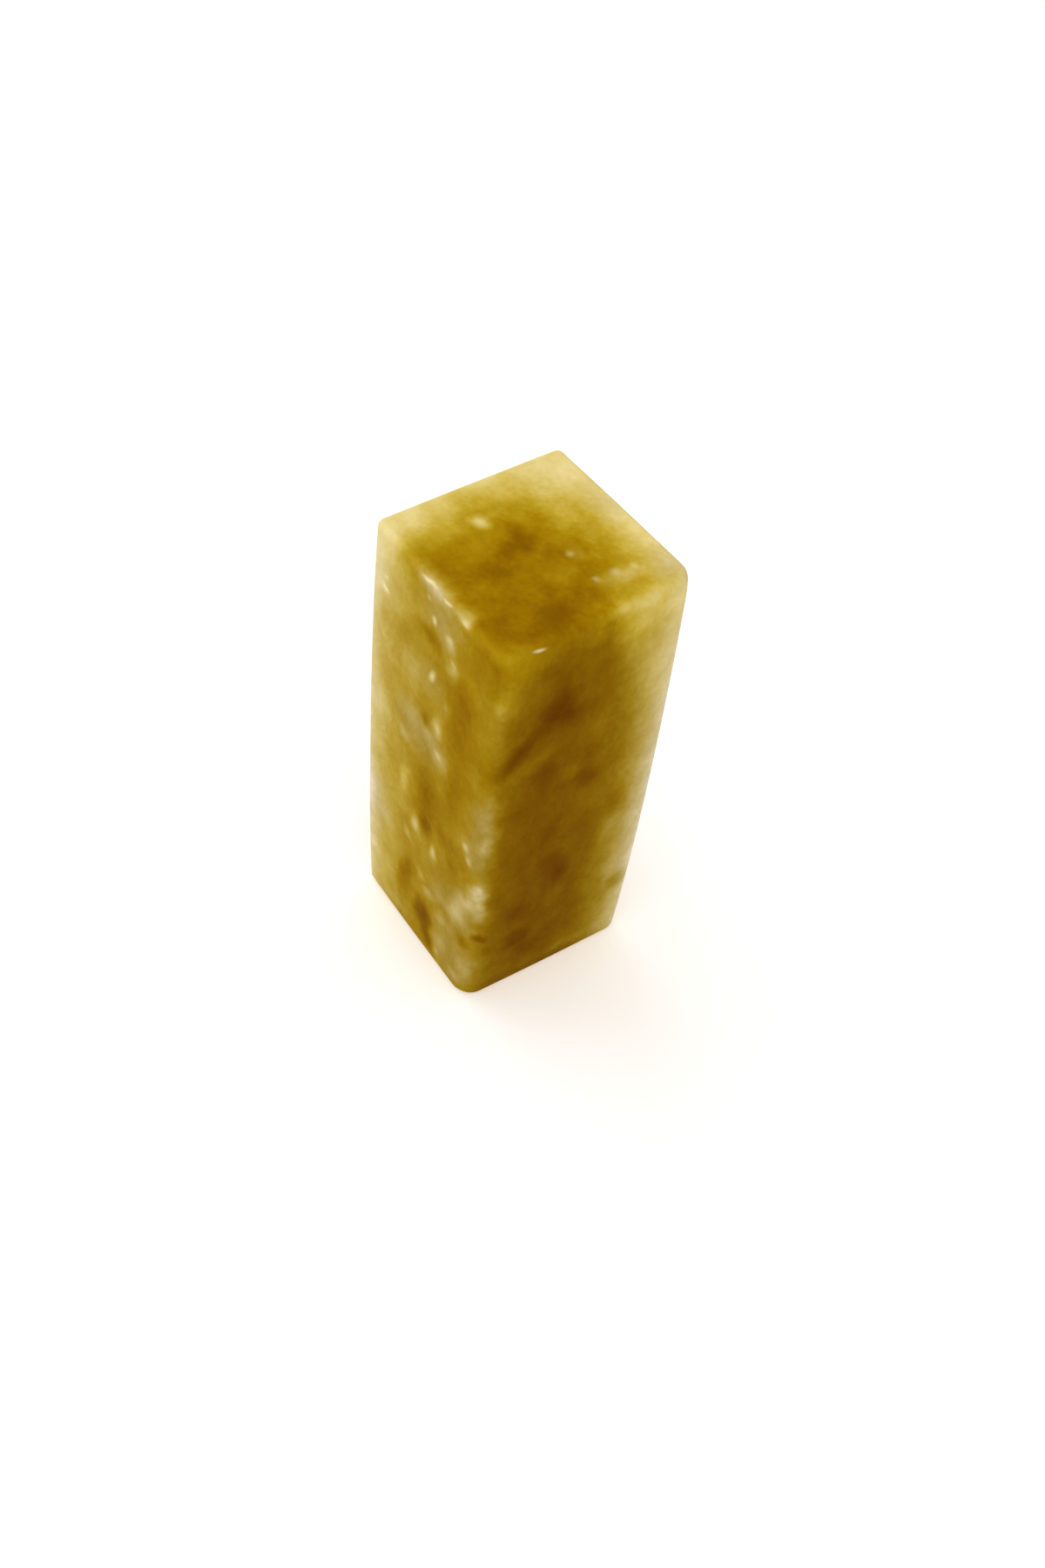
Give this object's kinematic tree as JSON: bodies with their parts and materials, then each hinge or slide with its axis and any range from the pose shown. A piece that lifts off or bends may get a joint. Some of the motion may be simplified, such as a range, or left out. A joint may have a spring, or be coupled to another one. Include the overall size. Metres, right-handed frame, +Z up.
{
  "type": "seal stamp",
  "caption": "Square soapstone seal stamp with rubbed edges, a flat polished top and a relief-carved print face that keeps a little red paste.",
  "frame": {"origin": "centre of the print face, in the plane of the raised lines that touch the paper", "axes": "+Z up the stone to its flat top; -Y is the left face and +X the right face of the picture"},
  "size_m": [0.02, 0.02, 0.05],
  "materials": {
    "soapstone": "polished olive and honey soapstone, pale and translucent at the edges",
    "seal_paste": "dull oily red"
  },
  "bodies": {
    "root": {"seal_stone": "soapstone", "paste_residue": "seal_paste"}
  },
  "joints": []
}
